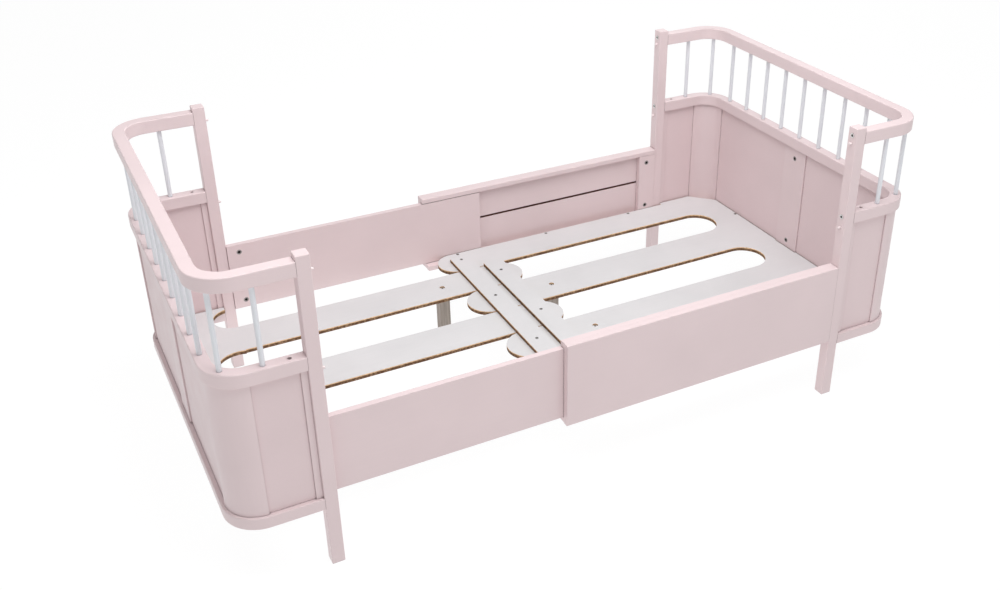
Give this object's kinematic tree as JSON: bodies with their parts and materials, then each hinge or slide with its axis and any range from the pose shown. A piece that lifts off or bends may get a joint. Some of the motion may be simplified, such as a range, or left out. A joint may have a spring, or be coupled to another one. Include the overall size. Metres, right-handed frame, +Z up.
{
  "type": "extending toddler bed",
  "caption": "Low spindled bed with bent, panelled ends on square posts and an outer and inner side rail on each side that slide to lengthen it over comb decks.",
  "frame": {"origin": "on the floor, at the middle of the bed's bounding box at the stored extension", "axes": "+X to the head end, +Y to the left side, +Z up"},
  "size_m": [1.952, 0.98, 0.835],
  "materials": {
    "frame_paint": "satin pale pink paint",
    "panel_paint": "satin pale pink paint",
    "spindle_paint": "satin off-white paint",
    "deck_paint": "matt off-white coating, raw brown edges",
    "leg_wood": "plain softwood, lightly sealed",
    "bolt_steel": "nickel plated",
    "cam_zinc": "cast zinc, plated",
    "stud_plastic": "matt pale pink",
    "dowel_wood": "raw beech"
  },
  "bodies": {
    "head_section": {"head_arm_panel_left": "panel_paint", "head_arm_panel_right": "panel_paint", "head_arm_stile_left": "frame_paint", "head_arm_stile_right": "frame_paint", "head_batten": "deck_paint", "head_bottom_rail": "frame_paint", "head_cam_locks": "cam_zinc", "head_centre_leg_left": "leg_wood", "head_centre_leg_right": "leg_wood", "head_centre_stile": "frame_paint", "head_corner_stile_left": "frame_paint", "head_corner_stile_right": "frame_paint", "head_cross_panel_left": "panel_paint", "head_cross_panel_right": "panel_paint", "head_deck": "deck_paint", "head_deck_screws": "bolt_steel", "head_dowels": "dowel_wood", "head_leg_bolts": "bolt_steel", "head_middle_rail": "frame_paint", "head_post_bolts": "bolt_steel", "head_post_left": "frame_paint", "head_post_right": "frame_paint", "head_post_studs": "stud_plastic", "head_spindles": "spindle_paint", "head_top_rail": "frame_paint", "outer_board_left": "frame_paint", "outer_board_right": "frame_paint", "rail_cap_left": "frame_paint", "rail_cap_right": "frame_paint", "rail_end_stile_left": "frame_paint", "rail_end_stile_right": "frame_paint", "rail_lip_left": "frame_paint", "rail_lip_right": "frame_paint"},
    "foot_section": {"foot_arm_panel_left": "panel_paint", "foot_arm_panel_right": "panel_paint", "foot_arm_stile_left": "frame_paint", "foot_arm_stile_right": "frame_paint", "foot_batten": "deck_paint", "foot_bottom_rail": "frame_paint", "foot_cam_locks": "cam_zinc", "foot_centre_leg_left": "leg_wood", "foot_centre_stile": "frame_paint", "foot_corner_stile_left": "frame_paint", "foot_corner_stile_right": "frame_paint", "foot_cross_panel_left": "panel_paint", "foot_cross_panel_right": "panel_paint", "foot_deck": "deck_paint", "foot_deck_screws": "bolt_steel", "foot_dowels": "dowel_wood", "foot_leg_bolts": "bolt_steel", "foot_middle_rail": "frame_paint", "foot_post_bolts": "bolt_steel", "foot_post_left": "frame_paint", "foot_post_right": "frame_paint", "foot_post_studs": "stud_plastic", "foot_spindles": "spindle_paint", "foot_top_rail": "frame_paint", "inner_rail_left": "frame_paint", "inner_rail_right": "frame_paint", "rail_guide_pins": "bolt_steel"}
  },
  "joints": [
    {"name": "bed_extension", "type": "slide", "parent": "head_section", "child": "foot_section", "axis": [-1, 0, 0], "range_m": [-0.595, 0.02]}
  ]
}
